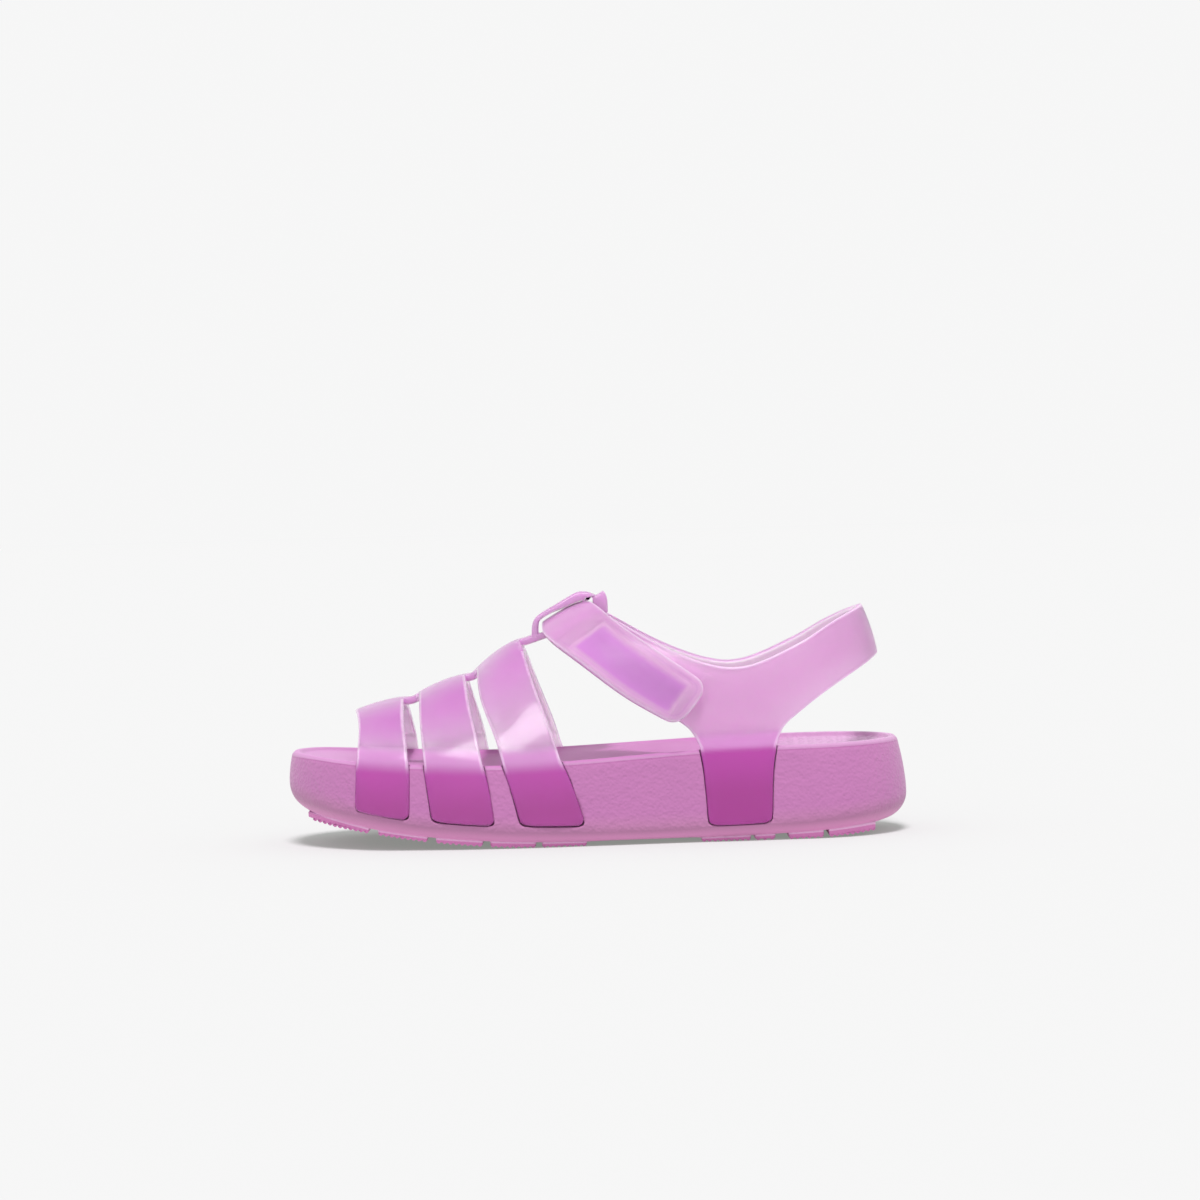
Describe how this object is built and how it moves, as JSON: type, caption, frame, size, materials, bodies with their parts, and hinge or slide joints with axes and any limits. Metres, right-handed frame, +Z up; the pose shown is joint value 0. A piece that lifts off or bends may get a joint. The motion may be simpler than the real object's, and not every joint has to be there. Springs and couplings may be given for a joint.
{
  "type": "jelly sandal",
  "caption": "Child's left sandal: foam sole with a dished footbed and lugs, clear jelly straps, an instep strap through a keeper loop and a heel strap.",
  "frame": {"origin": "centre of the bounding box's footprint, on the floor under the tread", "axes": "+X from toe to heel along the shoe, -Y the outer (lateral) side of the foot, +Y the inner side, +Z up"},
  "size_m": [0.1908, 0.077, 0.0758],
  "materials": {
    "foam": "matte pink moulded foam, fine pebble grain on the side wall",
    "jelly": "glossy milky translucent pink",
    "hook_tape": "matt violet hooks",
    "loop_tape": "matt violet pile"
  },
  "bodies": {
    "root": {"sole": "foam", "vamp": "jelly", "quarter": "jelly", "hook_patch": "hook_tape", "loop_patch": "loop_tape"}
  },
  "joints": []
}
